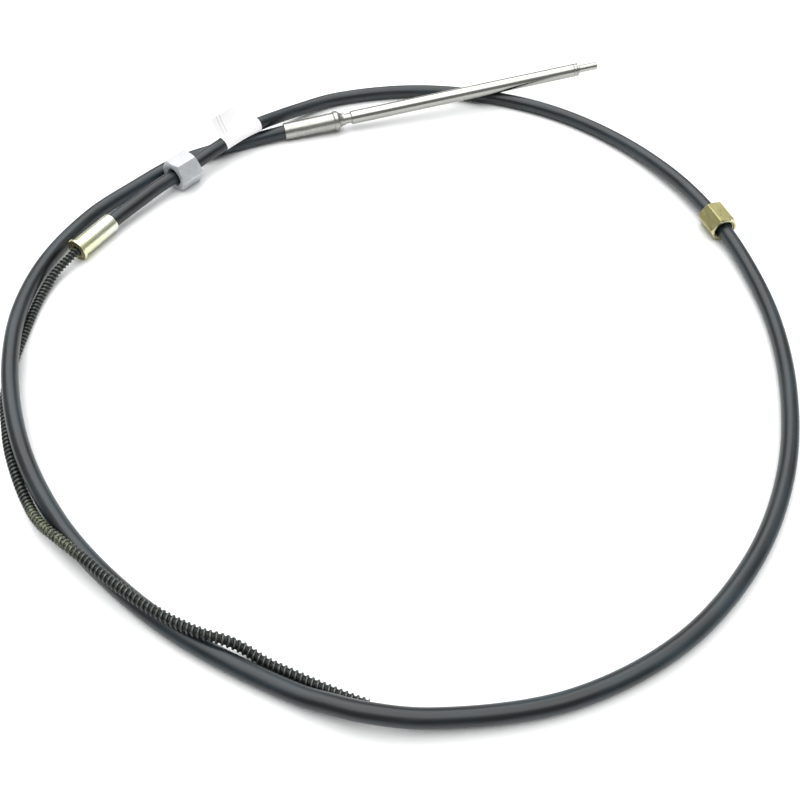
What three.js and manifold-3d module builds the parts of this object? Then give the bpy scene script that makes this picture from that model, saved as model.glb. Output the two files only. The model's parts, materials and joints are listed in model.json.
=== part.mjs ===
// Boat steering cable, coiled once on the floor: a jacketed rotary cable with a bare
// toothed core at the helm end and a stainless ram at the engine end.
// Millimetres, +Z up, the camera's side of the loop at -Y.
import * as THREE from "three";
import Module from "manifold-3d";

const manifold = await Module();
manifold.setup();

// Jacket and core
const JACKET_RADIUS = 7.7;
const JACKET_SIDES = 12;
const JACKET_STEPS = 80;
const CORE_RADIUS = 4.65;
const CORE_SIDES = 10;
const CORE_STEPS = 30;

// Gaps kept between pieces that touch on the real cable
const FLOOR_GAP = 0.1;
const SEAT_GAP = 0.3;
const TURNED_SEGMENTS = 40;

// Helm ferrule, measured along its axis from the flange face
const FERRULE_LENGTH = 55;
const FERRULE_CORE_CLEARANCE = 0.75;
const FERRULE_CORE_BORE = CORE_RADIUS + FERRULE_CORE_CLEARANCE;
const FERRULE_JACKET_CLEARANCE = 0.6;
const FERRULE_JACKET_BORE = JACKET_RADIUS + FERRULE_JACKET_CLEARANCE;
const FERRULE_JACKET_SEAT = 19.6;
const FERRULE_WALL = 2;
const FERRULE_RADIUS = FERRULE_JACKET_BORE + FERRULE_WALL;
const FERRULE_CHAMFER = 1;
const FLANGE_STEP = 2.1;
const FLANGE_RADIUS = FERRULE_RADIUS + FLANGE_STEP;
const FLANGE_THICKNESS = 3;
const FERRULE_FACE = new THREE.Vector3(-341.2, 82.9, FLANGE_RADIUS + FLOOR_GAP);
const FERRULE_DIRECTION = new THREE.Vector3(28, 47.6, 0.5).normalize();

// Output sleeve, measured along the output line from the sleeve's mouth
const SLEEVE_CLEARANCE = 0.8;
const SLEEVE_BORE = JACKET_RADIUS + SLEEVE_CLEARANCE;
const SLEEVE_WALL = 1.4;
const SLEEVE_RADIUS = SLEEVE_BORE + SLEEVE_WALL;
const SLEEVE_FLARE = 0.7;
const SLEEVE_END_RADIUS = SLEEVE_RADIUS + SLEEVE_FLARE;
const SLEEVE_LENGTH = 62;
const SLEEVE_BORE_DEPTH = 24;
const COLLAR_STEP = 1.1;
const COLLAR_RADIUS = SLEEVE_END_RADIUS + COLLAR_STEP;
const COLLAR_LENGTH = 6;
const COLLAR_CHAMFER = 1;
const COLLAR_END = SLEEVE_LENGTH + COLLAR_LENGTH;
const SHOULDER_LENGTH = 8;
const SHOULDER_END = COLLAR_END + SHOULDER_LENGTH;
const SHOULDER_LIP = 0.9;
const SHOULDER_MIDDLE = { drop: 3.2, length: 3 };
const OUTPUT_MOUTH = new THREE.Vector3(-138.2, 305.2, SLEEVE_RADIUS + 2 * FLOOR_GAP);
const OUTPUT_DIRECTION = new THREE.Vector3(393.2, 116.7, 20.4).normalize();

// Support tube and the ram that slides on it, along the same line
const SUPPORT_RADIUS = 6.1;
const SUPPORT_SOCKET = 10;
const SOCKET_CLEARANCE = 0.3;
const RAM_CLEARANCE = 0.4;
const RAM_BORE = SUPPORT_RADIUS + RAM_CLEARANCE;
const RAM_WALL = 1.44;
const RAM_RADIUS = RAM_BORE + RAM_WALL;
const RAM_EDGE = 0.5;
const NECK_LENGTH = 8;
const RAM_START = SHOULDER_END + NECK_LENGTH;
const RAM_LENGTH = 301;
const RAM_END = RAM_START + RAM_LENGTH;
const RAM_PLUG_DEPTH = 12;
const SUPPORT_STOP_GAP = 7;
const SUPPORT_END = RAM_END - RAM_PLUG_DEPTH - SUPPORT_STOP_GAP;
const TIP_RADIUS = 4.7;
const TIP_LENGTH = 26;
const TIP_END = RAM_END + TIP_LENGTH;
const TIP_EDGE = 0.6;
const TIP_STEP = { plug: 1, cone: 2 };

// Loose hexagon nuts; the play is round the jacket in the rear hole, and the distance is
// along the jacket to the nut's middle
const HELM_NUT = { flats: 34, length: 29, bore: 10.6, play: 1.6, distance: 144, yaw: 2, frontAhead: false };
const TILT_NUT = { flats: 27, length: 32, bore: 10.6, play: 0.9, distance: 944, yaw: 0, frontAhead: true };
const NUT_REAR_WALL = 5;
const NUT_THREAD_RUNOUT = 1.5;
const NUT_CHAMFER = 2.4;
const NUT_FACE_STEP = 0.6;

// Label wrapped round the jacket with its ends stuck together as a flag
const LABEL_INNER = JACKET_RADIUS + SEAT_GAP;
const LABEL_THICKNESS = 0.3;
const LABEL_OUTER = LABEL_INNER + LABEL_THICKNESS;
const LABEL_FLAG = 24;
const LABEL_LEAF_GAP = 0.15;
const LABEL_FLAG_ANGLE = THREE.MathUtils.degToRad(64);
const LABEL_FROM = 206;
const LABEL_TO = 257;
const LABEL_TURNS = 28;

// Jacket centre line from inside the ferrule round the loop to inside the output sleeve.
// It passes over itself beside the label, over the core on the left and over its free end.
const JACKET_ROUTE = [
  [-331.1, 100.1, 12.7],
  [-321.9, 115.7, 12.8],
  [-311.8, 132.9, 13],
  [-292.2, 161.4, 14],
  [-269.2, 192.9, 15.4],
  [-246.2, 217.9, 16.8],
  [-220.2, 247.4, 20],
  [-187.2, 280.4, 24.8],
  [-168.2, 296.7, 26],
  [-146.6, 324.4, 18.8],
  [-125.2, 349.4, 12],
  [-78.7, 380.4, 8.3],
  [14.8, 398.7, 7.9],
  [109.8, 387.7, 7.8],
  [195.8, 350.9, 7.9],
  [266.8, 289.9, 8.9],
  [320.8, 208.9, 12],
  [350.8, 132.4, 13.1],
  [368.8, 55.4, 10.6],
  [375.3, -21.1, 8.2],
  [365.8, -110.1, 7.9],
  [338.8, -202.1, 7.8],
  [290.8, -287.1, 7.8],
  [218.3, -360.1, 8],
  [126.8, -405.6, 8],
  [25.8, -420.6, 12],
  [-22, -417.2, 14.9],
  [-48, -409.9, 12.2],
  [-74, -400.6, 8.9],
  [-172.2, -349.8, 8],
  [-257.2, -280.6, 8.2],
  [-310.2, -214.6, 10.2],
  [-341.2, -156.1, 16],
  [-364.7, -84.1, 18.6],
  [-375.2, -10.1, 17],
  [-369.2, 72.9, 10.8],
  [-339.7, 148.4, 8.1],
  [-303.2, 196.4, 7.9],
  [-255.7, 247.8, 7.9],
  [-187.2, 285.6, 8],
  [-138.2, 305.2, 10.1],
  [-117.2, 311.4, 11.2],
];

// Core centre line from inside the ferrule: under the jacket, round its outer side,
// up over its top and down to the free end, which the jacket lies on.
const CORE_ROUTE = [
  [-337.1, 89.8, 12.5],
  [-344.7, 76.4, 11.9],
  [-357.6, 50.4, 9],
  [-365.6, 16.9, 6],
  [-368.8, -26.1, 5],
  [-369.4, -65.1, 4.9],
  [-366.5, -110, 4.9],
  [-353.4, -153.7, 4.9],
  [-344.8, -176.3, 4.9],
  [-328.2, -209.3, 4.9],
  [-315, -231, 5.3],
  [-296.5, -255.7, 12],
  [-270.3, -278.7, 19],
  [-246.9, -296.5, 20.6],
  [-227.8, -311.8, 21],
  [-205.2, -327.6, 21],
  [-187.8, -339, 21],
  [-171, -348.5, 20.9],
  [-145.8, -359.3, 20.2],
  [-131.2, -362.4, 17.4],
  [-116.2, -365.7, 9.6],
  [-98.6, -375, 5.2],
  [-80.5, -383.4, 4.95],
  [-63.6, -391, 4.9],
  [-44.7, -398.9, 4.9],
  [-29.9, -404.7, 4.9],
  [-20.3, -408, 4.9],
];

const part = new THREE.Group();
part.name = "boat_steering_cable";

function curveThrough(route) {
  return new THREE.CatmullRomCurve3(route.map((p) => new THREE.Vector3(...p)));
}

function addMesh(name, geometry, color, metalness, roughness) {
  const material = new THREE.MeshStandardMaterial({ color, metalness, roughness });
  const mesh = new THREE.Mesh(geometry, material);
  mesh.name = name;
  part.add(mesh);
  return mesh;
}

// A mesh whose +Z is laid along a direction from a point.
function place(mesh, origin, direction) {
  mesh.position.copy(origin);
  mesh.quaternion.setFromUnitVectors(new THREE.Vector3(0, 0, 1), direction);
  return mesh;
}

function circleShape(radius, sides) {
  const shape = new THREE.Shape();
  for (let i = 0; i < sides; i++) {
    const angle = (2 * Math.PI * i) / sides;
    const x = radius * Math.cos(angle);
    const y = radius * Math.sin(angle);
    if (i === 0) shape.moveTo(x, y);
    else shape.lineTo(x, y);
  }
  shape.closePath();
  return shape;
}

function tube(curve, radius, sides, steps) {
  return new THREE.ExtrudeGeometry(circleShape(radius, sides), {
    steps,
    extrudePath: curve,
    bevelEnabled: false,
  });
}

// A turned body about +Z from [radius, height] pairs, closed back to the first pair.
function turned(profile) {
  const points = [...profile, profile[0]].map(([r, z]) => new THREE.Vector2(r, z));
  return new THREE.LatheGeometry(points, TURNED_SEGMENTS).rotateX(Math.PI / 2);
}

function toSolid(geometry) {
  const flat = geometry.index ? geometry.toNonIndexed() : geometry;
  const positions = flat.getAttribute("position").array;
  const indices = Uint32Array.from({ length: positions.length / 3 }, (_, i) => i);
  const mesh = new manifold.Mesh({
    numProp: 3,
    vertProperties: new Float32Array(positions),
    triVerts: indices,
  });
  mesh.merge();
  return new manifold.Manifold(mesh);
}

function toGeometry(solid) {
  const mesh = solid.getMesh();
  const positions = new Float32Array(mesh.numVert * 3);
  for (let i = 0; i < mesh.numVert; i++) {
    const from = i * mesh.numProp;
    positions.set(mesh.vertProperties.subarray(from, from + 3), i * 3);
  }
  const geometry = new THREE.BufferGeometry();
  geometry.setAttribute("position", new THREE.BufferAttribute(positions, 3));
  geometry.setIndex(new THREE.BufferAttribute(new Uint32Array(mesh.triVerts), 1));
  geometry.computeVertexNormals();
  return geometry;
}

// A hexagon cap nut about +Z: the small rear hole at z = 0, the wide bore open at the front.
function nutGeometry({ flats, length, bore, play }) {
  const rearHole = JACKET_RADIUS + play;
  const corner = flats / Math.sqrt(3);
  const faceRadius = flats / 2 - NUT_FACE_STEP;
  const outside = corner + 1;
  const beyond = 1;
  const hexagon = new THREE.CylinderGeometry(corner, corner, length, 6);
  hexagon.rotateX(Math.PI / 2).translate(0, 0, length / 2);
  const chamfered = turned([
    [0, 0],
    [faceRadius, 0],
    [outside, NUT_CHAMFER],
    [outside, length - NUT_CHAMFER],
    [faceRadius, length],
    [0, length],
  ]);
  const hole = turned([
    [0, -beyond],
    [rearHole, -beyond],
    [rearHole, NUT_REAR_WALL],
    [bore, NUT_REAR_WALL + NUT_THREAD_RUNOUT],
    [bore, length + beyond],
    [0, length + beyond],
  ]);
  const body = toSolid(hexagon).intersect(toSolid(chamfered)).subtract(toSolid(hole));
  return toGeometry(body);
}

// A nut lying level on one flat, its wide bore ahead along the route or behind.
function addNut(name, nut, curve, color, roughness) {
  const { point: centre, along } = chordFrame(curve, JACKET_STEPS, nut.distance);
  const turn = THREE.MathUtils.degToRad(nut.yaw) + (nut.frontAhead ? 0 : Math.PI);
  const heading = Math.atan2(along.y, along.x) + turn;
  const front = new THREE.Vector3(Math.cos(heading), Math.sin(heading), 0);
  const mesh = addMesh(name, nutGeometry(nut), color, 1, roughness);
  const up = new THREE.Vector3(0, 0, 1);
  const side = new THREE.Vector3().crossVectors(front, up);
  mesh.quaternion.setFromRotationMatrix(new THREE.Matrix4().makeBasis(up, side, front));
  mesh.position.set(centre.x, centre.y, nut.flats / 2 + FLOOR_GAP);
  mesh.position.addScaledVector(front, -nut.length / 2);
  return mesh;
}

// The label's cross-section: across is level, to the left of the route; up is +Z.
function labelOutline() {
  const outline = [];
  const halfGap = LABEL_LEAF_GAP / 2;
  const outerLeaf = halfGap + LABEL_THICKNESS;
  const reach = LABEL_OUTER + LABEL_FLAG;
  const onCircle = (radius, offset, k, sign) => {
    const start = Math.asin(offset / radius);
    const angle = start + ((2 * Math.PI - 2 * start) * k) / LABEL_TURNS;
    return [radius * Math.cos(angle * sign), radius * Math.sin(angle * sign)];
  };
  outline.push([reach, halfGap]);
  outline.push([reach, outerLeaf]);
  for (let k = 0; k <= LABEL_TURNS; k++) outline.push(onCircle(LABEL_OUTER, outerLeaf, k, 1));
  outline.push([reach, -outerLeaf]);
  outline.push([reach, -halfGap]);
  for (let k = 0; k <= LABEL_TURNS; k++) outline.push(onCircle(LABEL_INNER, halfGap, k, -1));
  const cos = Math.cos(LABEL_FLAG_ANGLE);
  const sin = Math.sin(LABEL_FLAG_ANGLE);
  return outline.map(([x, y]) => new THREE.Vector2(x * cos - y * sin, x * sin + y * cos));
}

// The jacket's tube is straight between its rings, so what sits on it follows those chords.
function chordFrame(curve, steps, distance) {
  const ring = (distance / curve.getLength()) * steps;
  const from = curve.getPointAt(Math.floor(ring) / steps);
  const to = curve.getPointAt((Math.floor(ring) + 1) / steps);
  const point = from.clone().lerp(to, ring - Math.floor(ring));
  return { point, along: to.sub(from).normalize() };
}

// Rings of an outline on the jacket from one distance to another, its second axis kept upright.
function sweepOnJacket(outline, curve, from, to) {
  const spacing = curve.getLength() / JACKET_STEPS;
  const frames = [chordFrame(curve, JACKET_STEPS, from)];
  for (let k = Math.ceil(from / spacing); k * spacing < to; k++) {
    const u = k / JACKET_STEPS;
    frames.push({ point: curve.getPointAt(u), along: curve.getTangentAt(u) });
  }
  frames.push(chordFrame(curve, JACKET_STEPS, to));
  const positions = [];
  for (const { point, along } of frames) {
    const across = new THREE.Vector3(-along.y, along.x, 0).normalize();
    const up = new THREE.Vector3().crossVectors(along, across);
    for (const { x, y } of outline) {
      const corner = point.clone().addScaledVector(across, x).addScaledVector(up, y);
      positions.push(corner.x, corner.y, corner.z);
    }
  }
  const count = outline.length;
  const end = (frames.length - 1) * count;
  const indices = [];
  for (let start = 0; start < end; start += count) {
    for (let i = 0; i < count; i++) {
      const a = start + i;
      const b = start + ((i + 1) % count);
      indices.push(a, b, a + count, b, b + count, a + count);
    }
  }
  for (const [a, b, c] of THREE.ShapeUtils.triangulateShape(outline, [])) {
    indices.push(c, b, a, end + a, end + b, end + c);
  }
  const geometry = new THREE.BufferGeometry();
  geometry.setAttribute("position", new THREE.Float32BufferAttribute(positions, 3));
  geometry.setIndex(indices);
  geometry.computeVertexNormals();
  return geometry;
}

const jacketCurve = curveThrough(JACKET_ROUTE);
const coreCurve = curveThrough(CORE_ROUTE);
const jacketTube = tube(jacketCurve, JACKET_RADIUS, JACKET_SIDES, JACKET_STEPS);
const coreTube = tube(coreCurve, CORE_RADIUS, CORE_SIDES, CORE_STEPS);
addMesh("outer_jacket", jacketTube, 0x24282c, 0, 0.45);
addMesh("drive_core", coreTube, 0x3a3833, 0.8, 0.5);

const ferrule = turned([
  [FERRULE_CORE_BORE, 0],
  [FLANGE_RADIUS, 0],
  [FLANGE_RADIUS, FLANGE_THICKNESS],
  [FERRULE_RADIUS, FLANGE_THICKNESS],
  [FERRULE_RADIUS, FERRULE_LENGTH - FERRULE_CHAMFER],
  [FERRULE_RADIUS - FERRULE_CHAMFER, FERRULE_LENGTH],
  [FERRULE_JACKET_BORE, FERRULE_LENGTH],
  [FERRULE_JACKET_BORE, FERRULE_JACKET_SEAT],
  [FERRULE_CORE_BORE, FERRULE_JACKET_SEAT],
]);
place(addMesh("helm_ferrule", ferrule, 0xd8d79a, 1, 0.3), FERRULE_FACE, FERRULE_DIRECTION);

const socketRadius = SUPPORT_RADIUS + SOCKET_CLEARANCE;
const socketFloor = SHOULDER_END - SUPPORT_SOCKET;
const hub = turned([
  [SLEEVE_BORE, 0],
  [SLEEVE_RADIUS, 0],
  [SLEEVE_END_RADIUS, SLEEVE_LENGTH],
  [COLLAR_RADIUS, SLEEVE_LENGTH + COLLAR_CHAMFER],
  [COLLAR_RADIUS, COLLAR_END - COLLAR_CHAMFER],
  [COLLAR_RADIUS - COLLAR_CHAMFER, COLLAR_END],
  [COLLAR_RADIUS - SHOULDER_MIDDLE.drop, COLLAR_END + SHOULDER_MIDDLE.length],
  [SUPPORT_RADIUS + SHOULDER_LIP, SHOULDER_END],
  [socketRadius, SHOULDER_END],
  [socketRadius, socketFloor],
  [0, socketFloor],
  [0, SLEEVE_BORE_DEPTH],
  [SLEEVE_BORE, SLEEVE_BORE_DEPTH],
]);
place(addMesh("output_hub", hub, 0xd9dcdd, 1, 0.22), OUTPUT_MOUTH, OUTPUT_DIRECTION);

const support = turned([
  [0, socketFloor + SEAT_GAP],
  [SUPPORT_RADIUS, socketFloor + SEAT_GAP],
  [SUPPORT_RADIUS, SUPPORT_END],
  [0, SUPPORT_END],
]);
place(addMesh("support_tube", support, 0xd9dcdd, 1, 0.25), OUTPUT_MOUTH, OUTPUT_DIRECTION);

const ram = turned([
  [RAM_BORE, RAM_START],
  [RAM_RADIUS - RAM_EDGE, RAM_START],
  [RAM_RADIUS, RAM_START + RAM_EDGE],
  [RAM_RADIUS, RAM_END - RAM_EDGE],
  [RAM_RADIUS - RAM_EDGE, RAM_END],
  [RAM_BORE, RAM_END],
]);
place(addMesh("ram_tube", ram, 0xdfe1e2, 1, 0.18), OUTPUT_MOUTH, OUTPUT_DIRECTION);

const plugRadius = RAM_BORE - SEAT_GAP;
const ramEnd = turned([
  [0, RAM_END - RAM_PLUG_DEPTH],
  [plugRadius, RAM_END - RAM_PLUG_DEPTH],
  [plugRadius, RAM_END + TIP_STEP.plug],
  [TIP_RADIUS, RAM_END + TIP_STEP.plug + TIP_STEP.cone],
  [TIP_RADIUS, TIP_END - TIP_EDGE],
  [TIP_RADIUS - TIP_EDGE, TIP_END],
  [0, TIP_END],
]);
place(addMesh("ram_end", ramEnd, 0xdfe1e2, 1, 0.2), OUTPUT_MOUTH, OUTPUT_DIRECTION);

addNut("helm_nut", HELM_NUT, jacketCurve, 0xd5d7d8, 0.4);
addNut("tilt_tube_nut", TILT_NUT, jacketCurve, 0xa39a52, 0.35);

const label = sweepOnJacket(labelOutline(), jacketCurve, LABEL_FROM, LABEL_TO);
addMesh("cable_label", label, 0xf4f4f2, 0, 0.6);

export default part;
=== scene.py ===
"""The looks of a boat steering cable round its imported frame, laid out as an add-on.

Lengths are metres on the frame's axes: +Z up from the floor, +Y away from the camera.
"""

import json
import math

import bmesh
import bpy
import numpy as np
from bpy.props import FloatProperty, FloatVectorProperty, IntProperty, PointerProperty
from bpy.types import Operator, Panel, PropertyGroup
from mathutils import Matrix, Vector


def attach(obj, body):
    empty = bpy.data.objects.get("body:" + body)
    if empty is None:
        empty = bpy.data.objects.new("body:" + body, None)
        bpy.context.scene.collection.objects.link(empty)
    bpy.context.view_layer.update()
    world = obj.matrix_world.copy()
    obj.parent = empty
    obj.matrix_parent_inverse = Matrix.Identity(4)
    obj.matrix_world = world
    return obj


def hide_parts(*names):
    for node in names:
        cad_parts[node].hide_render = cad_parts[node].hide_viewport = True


bl_info = {
    "name": "Boat steering cable",
    "version": (1, 0, 0),
    "blender": (4, 5, 0),
    "location": "View3D > Sidebar > Cable",
    "description": "Dresses the frame of a rotary steering cable: jacket, core, fittings and ram",
    "category": "Object",
}

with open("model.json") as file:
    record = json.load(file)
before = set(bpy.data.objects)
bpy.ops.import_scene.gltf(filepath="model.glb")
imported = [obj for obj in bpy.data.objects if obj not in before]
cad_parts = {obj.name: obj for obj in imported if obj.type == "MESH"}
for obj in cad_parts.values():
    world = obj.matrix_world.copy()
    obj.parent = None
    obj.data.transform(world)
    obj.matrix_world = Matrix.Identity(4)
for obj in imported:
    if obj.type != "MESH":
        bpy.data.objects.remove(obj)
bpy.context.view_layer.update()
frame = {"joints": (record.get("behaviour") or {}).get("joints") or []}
JOINTS = {joint["name"]: joint for joint in frame["joints"]}

MM = 0.001

# The jacket's centre line, from inside the ferrule round the loop to inside the output sleeve.
JACKET_ROUTE = [
    (-0.3311, 0.1001, 0.0127),
    (-0.3219, 0.1157, 0.0128),
    (-0.3118, 0.1329, 0.0130),
    (-0.2922, 0.1614, 0.0140),
    (-0.2692, 0.1929, 0.0154),
    (-0.2462, 0.2179, 0.0168),
    (-0.2202, 0.2474, 0.0200),
    (-0.1872, 0.2804, 0.0248),
    (-0.1682, 0.2967, 0.0260),
    (-0.1466, 0.3244, 0.0188),
    (-0.1252, 0.3494, 0.0120),
    (-0.0787, 0.3804, 0.0083),
    (0.0148, 0.3987, 0.0079),
    (0.1098, 0.3877, 0.0078),
    (0.1958, 0.3509, 0.0079),
    (0.2668, 0.2899, 0.0089),
    (0.3208, 0.2089, 0.0120),
    (0.3508, 0.1324, 0.0131),
    (0.3688, 0.0554, 0.0106),
    (0.3753, -0.0211, 0.0082),
    (0.3658, -0.1101, 0.0079),
    (0.3388, -0.2021, 0.0078),
    (0.2908, -0.2871, 0.0078),
    (0.2183, -0.3601, 0.0080),
    (0.1268, -0.4056, 0.0080),
    (0.0258, -0.4206, 0.0120),
    (-0.0220, -0.4172, 0.0149),
    (-0.0480, -0.4099, 0.0122),
    (-0.0740, -0.4006, 0.0089),
    (-0.1722, -0.3498, 0.0080),
    (-0.2572, -0.2806, 0.0082),
    (-0.3102, -0.2146, 0.0102),
    (-0.3412, -0.1561, 0.0160),
    (-0.3647, -0.0841, 0.0186),
    (-0.3752, -0.0101, 0.0170),
    (-0.3692, 0.0729, 0.0108),
    (-0.3397, 0.1484, 0.0081),
    (-0.3032, 0.1964, 0.0079),
    (-0.2557, 0.2478, 0.0079),
    (-0.1872, 0.2856, 0.0080),
    (-0.1382, 0.3052, 0.0101),
    (-0.1172, 0.3114, 0.0112),
]

# The bare core's centre line, from inside the ferrule to its free end under the jacket.
CORE_ROUTE = [
    (-0.3371, 0.0898, 0.0125),
    (-0.3447, 0.0764, 0.0119),
    (-0.3576, 0.0504, 0.0090),
    (-0.3656, 0.0169, 0.0060),
    (-0.3688, -0.0261, 0.0050),
    (-0.3694, -0.0651, 0.0049),
    (-0.3665, -0.1100, 0.0049),
    (-0.3534, -0.1537, 0.0049),
    (-0.3448, -0.1763, 0.0049),
    (-0.3282, -0.2093, 0.0049),
    (-0.3150, -0.2310, 0.0053),
    (-0.2965, -0.2557, 0.0120),
    (-0.2703, -0.2787, 0.0190),
    (-0.2469, -0.2965, 0.0206),
    (-0.2278, -0.3118, 0.0210),
    (-0.2052, -0.3276, 0.0210),
    (-0.1878, -0.3390, 0.0210),
    (-0.1710, -0.3485, 0.0209),
    (-0.1458, -0.3593, 0.0202),
    (-0.1312, -0.3624, 0.0174),
    (-0.1162, -0.3657, 0.0096),
    (-0.0986, -0.3750, 0.0052),
    (-0.0805, -0.3834, 0.0050),
    (-0.0636, -0.3910, 0.0049),
    (-0.0447, -0.3989, 0.0049),
    (-0.0299, -0.4047, 0.0049),
    (-0.0203, -0.4080, 0.0049),
]

# Where aged grease lies caked on the core, from the first point to the last.
CAKED_STRETCH = ((-0.3150, -0.2310, 0.0053), (-0.2469, -0.2965, 0.0206))

# The ferrule's flange face and axis, and the output end's mouth and axis, as in the frame.
FERRULE_FACE = Vector((-0.3412, 0.0829, 0.0125))
FERRULE_AXIS = Vector((28, 47.6, 0.5)).normalized()
OUTPUT_MOUTH = Vector((-0.1382, 0.3052, 0.0101))
OUTPUT_AXIS = Vector(JOINTS["ram_slide"]["axis"]).normalized()

# The camera stands before the loop and looks down at it.
CAMERA_PLACE = (0.0030, -0.6684, 0.6606)
CAMERA_DOWN = math.radians(50)
CAMERA_LENS = 41.4
SENSOR_WIDTH = 36.0

# The attributes that the pieces carry for their materials.
STRAIGHT = "straight"
CREST = "crest"

# Edges sharper than this show as edges, and points nearer than this are one.
SHARP_ANGLE = math.radians(38)
MERGE = 1e-7


def linear(code):
    """An sRGB hex colour as linear red, green, blue and alpha."""
    parts = [int(code[i : i + 2], 16) / 255 for i in (1, 3, 5)]
    return (*[p / 12.92 if p <= 0.04045 else ((p + 0.055) / 1.055) ** 2.4 for p in parts], 1.0)


BLACK = linear("#000000")
WHITE = linear("#ffffff")
# Pale gold of the painted highlight on the tilt nut's turned faces
HIGHLIGHT_PALE_GOLD = linear("#ffffe5")


def colour_property(name, code, description):
    """A colour that a user may change, given as sRGB hex."""
    return FloatVectorProperty(
        name=name,
        description=description,
        subtype="COLOR",
        size=4,
        min=0,
        max=1,
        default=linear(code),
    )


def length_property(name, millimetres, description):
    """A length that a user may change, given in millimetres."""
    return FloatProperty(
        name=name,
        description=description,
        unit="LENGTH",
        precision=5,
        min=0.00001,
        default=millimetres * MM,
    )


def power_property(name, default, description, unit="NONE"):
    """A light's power or the room's strength, that a user may change."""
    return FloatProperty(name=name, description=description, unit=unit, default=default, min=0)


class CableSizes(PropertyGroup):
    """Sizes of the dressed pieces that a user may change."""

    jacket: length_property("Jacket", 15.4, "Outside diameter of the plastic cover")
    core: length_property("Core", 9.3, "Outside diameter of the core over its teeth")
    tooth_pitch: length_property("Tooth pitch", 4.56, "Distance from one tooth to the next")
    tooth_wire: length_property("Tooth wire", 2.4, "Diameter of the wire that forms the teeth")
    filler_wire: length_property("Filler wire", 1.1, "Diameter of the wires between the teeth")
    thread_pitch: length_property("Thread pitch", 1.81, "Pitch of the thread in both nuts")
    thread_depth: length_property("Thread depth", 0.7, "Depth of the thread in both nuts")
    label_film: length_property("Label film", 0.2, "Thickness of the label's film")
    sides: IntProperty(
        name="Sides",
        description="Faces round each turned piece",
        default=96,
        min=12,
        max=256,
    )


class CableColours(PropertyGroup):
    """Colours of the finishes that a user may change."""

    jacket: colour_property("Jacket", "#0f1416", "Pigmented plastic of the cover")
    jacket_haze: colour_property("Jacket haze", "#27373f", "Dusty bloom on the cover")
    core: colour_property("Core", "#3a3d3b", "Greased steel between the teeth")
    # Crest colour: steel worn bright, and a painted highlight on the teeth
    core_crest_worn_and_highlight: colour_property("Core crests", "#7c827d", "Bright crests of the teeth")
    core_grease: colour_property("Grease", "#7f8468", "Aged grease that lies on the teeth")
    yellow_zinc: colour_property("Yellow zinc", "#dedfb0", "Yellow passivation on the ferrule")
    pale_zinc: colour_property("Pale zinc", "#d8dbd2", "Thin passivation on the ferrule")
    ferrule_face: colour_property("Ferrule face", "#6f6444", "Stained end face of the ferrule")
    bright_zinc: colour_property("Bright zinc", "#c1c4c7", "Clear zinc plating of the helm nut")
    olive_zinc: colour_property("Olive zinc", "#8f8a5c", "Olive passivation of the tilt nut")
    gold_zinc: colour_property("Gold zinc", "#a19b6c", "Lighter clouds in the olive zinc")
    stainless: colour_property("Stainless", "#a9a9a4", "Bright stainless steel")
    label: colour_property("Label", "#f5f3f4", "White film of the label")
    label_rule: colour_property("Label rules", "#d2d0ce", "Printed grey rules on the label")
    floor: colour_property("Floor", "#f4f5f5", "Pale floor under the cable")


class CableStage(PropertyGroup):
    """Sizes and lights of the stage that a user may change."""

    floor: length_property("Floor", 12000, "Width of the square floor")
    key: power_property("Key light", 42, "Power of the soft box behind the loop", "POWER")
    fill: power_property("Fill light", 44, "Power of the soft box over the loop", "POWER")
    back: power_property("Back of the room", 0.8, "Strength behind the loop and overhead")
    front: power_property("Front of the room", 0.34, "Strength behind the camera")


class Route:
    """A centripetal Catmull-Rom curve through a route's points, measured along its length."""

    SAMPLES = 120

    def __init__(self, points):
        knots = np.array(points, float)
        before = 2 * knots[0] - knots[1]
        after = 2 * knots[-1] - knots[-2]
        knots = np.vstack([before, knots, after])
        spans = [self.span(knots[i : i + 4]) for i in range(len(knots) - 3)]
        self.points = np.vstack([*spans, knots[-2]])
        steps = np.linalg.norm(np.diff(self.points, axis=0), axis=1)
        self.distance = np.concatenate([[0], np.cumsum(steps)])
        self.length = self.distance[-1]
        tangents = np.gradient(self.points, self.distance, axis=0)
        self.tangents = tangents / np.linalg.norm(tangents, axis=1, keepdims=True)

    @classmethod
    def span(cls, four):
        """Points from the second knot of four up to the third, that one left out."""
        gaps = np.maximum(np.linalg.norm(np.diff(four, axis=0), axis=1) ** 0.5, 1e-6)
        a, b, c, d = four
        leave = ((b - a) / gaps[0] - (c - a) / (gaps[0] + gaps[1]) + (c - b) / gaps[1]) * gaps[1]
        arrive = ((c - b) / gaps[1] - (d - b) / (gaps[1] + gaps[2]) + (d - c) / gaps[2]) * gaps[1]
        t = np.linspace(0, 1, cls.SAMPLES, endpoint=False)[:, None]
        square = -3 * b + 3 * c - 2 * leave - arrive
        cube = 2 * b - 2 * c + leave + arrive
        return b + leave * t + square * t**2 + cube * t**3

    def frames(self, distances):
        """Centres, tangents, level left-hand sides and upright sides at distances along it."""
        centres = self.read(self.points, distances)
        along = self.read(self.tangents, distances)
        along /= np.linalg.norm(along, axis=-1, keepdims=True)
        across = np.stack([-along[..., 1], along[..., 0], 0 * along[..., 0]], -1)
        across /= np.linalg.norm(across, axis=-1, keepdims=True)
        return centres, along, across, np.cross(along, across)

    def read(self, values, distances):
        """A sampled quantity between its samples."""
        return np.stack([np.interp(distances, self.distance, v) for v in values.T], -1)

    def nearest(self, point):
        """The distance along the route at which it passes a point."""
        return self.distance[np.linalg.norm(self.points - np.array(point), axis=1).argmin()]


JACKET = Route(JACKET_ROUTE)
CORE = Route(CORE_ROUTE)


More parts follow.
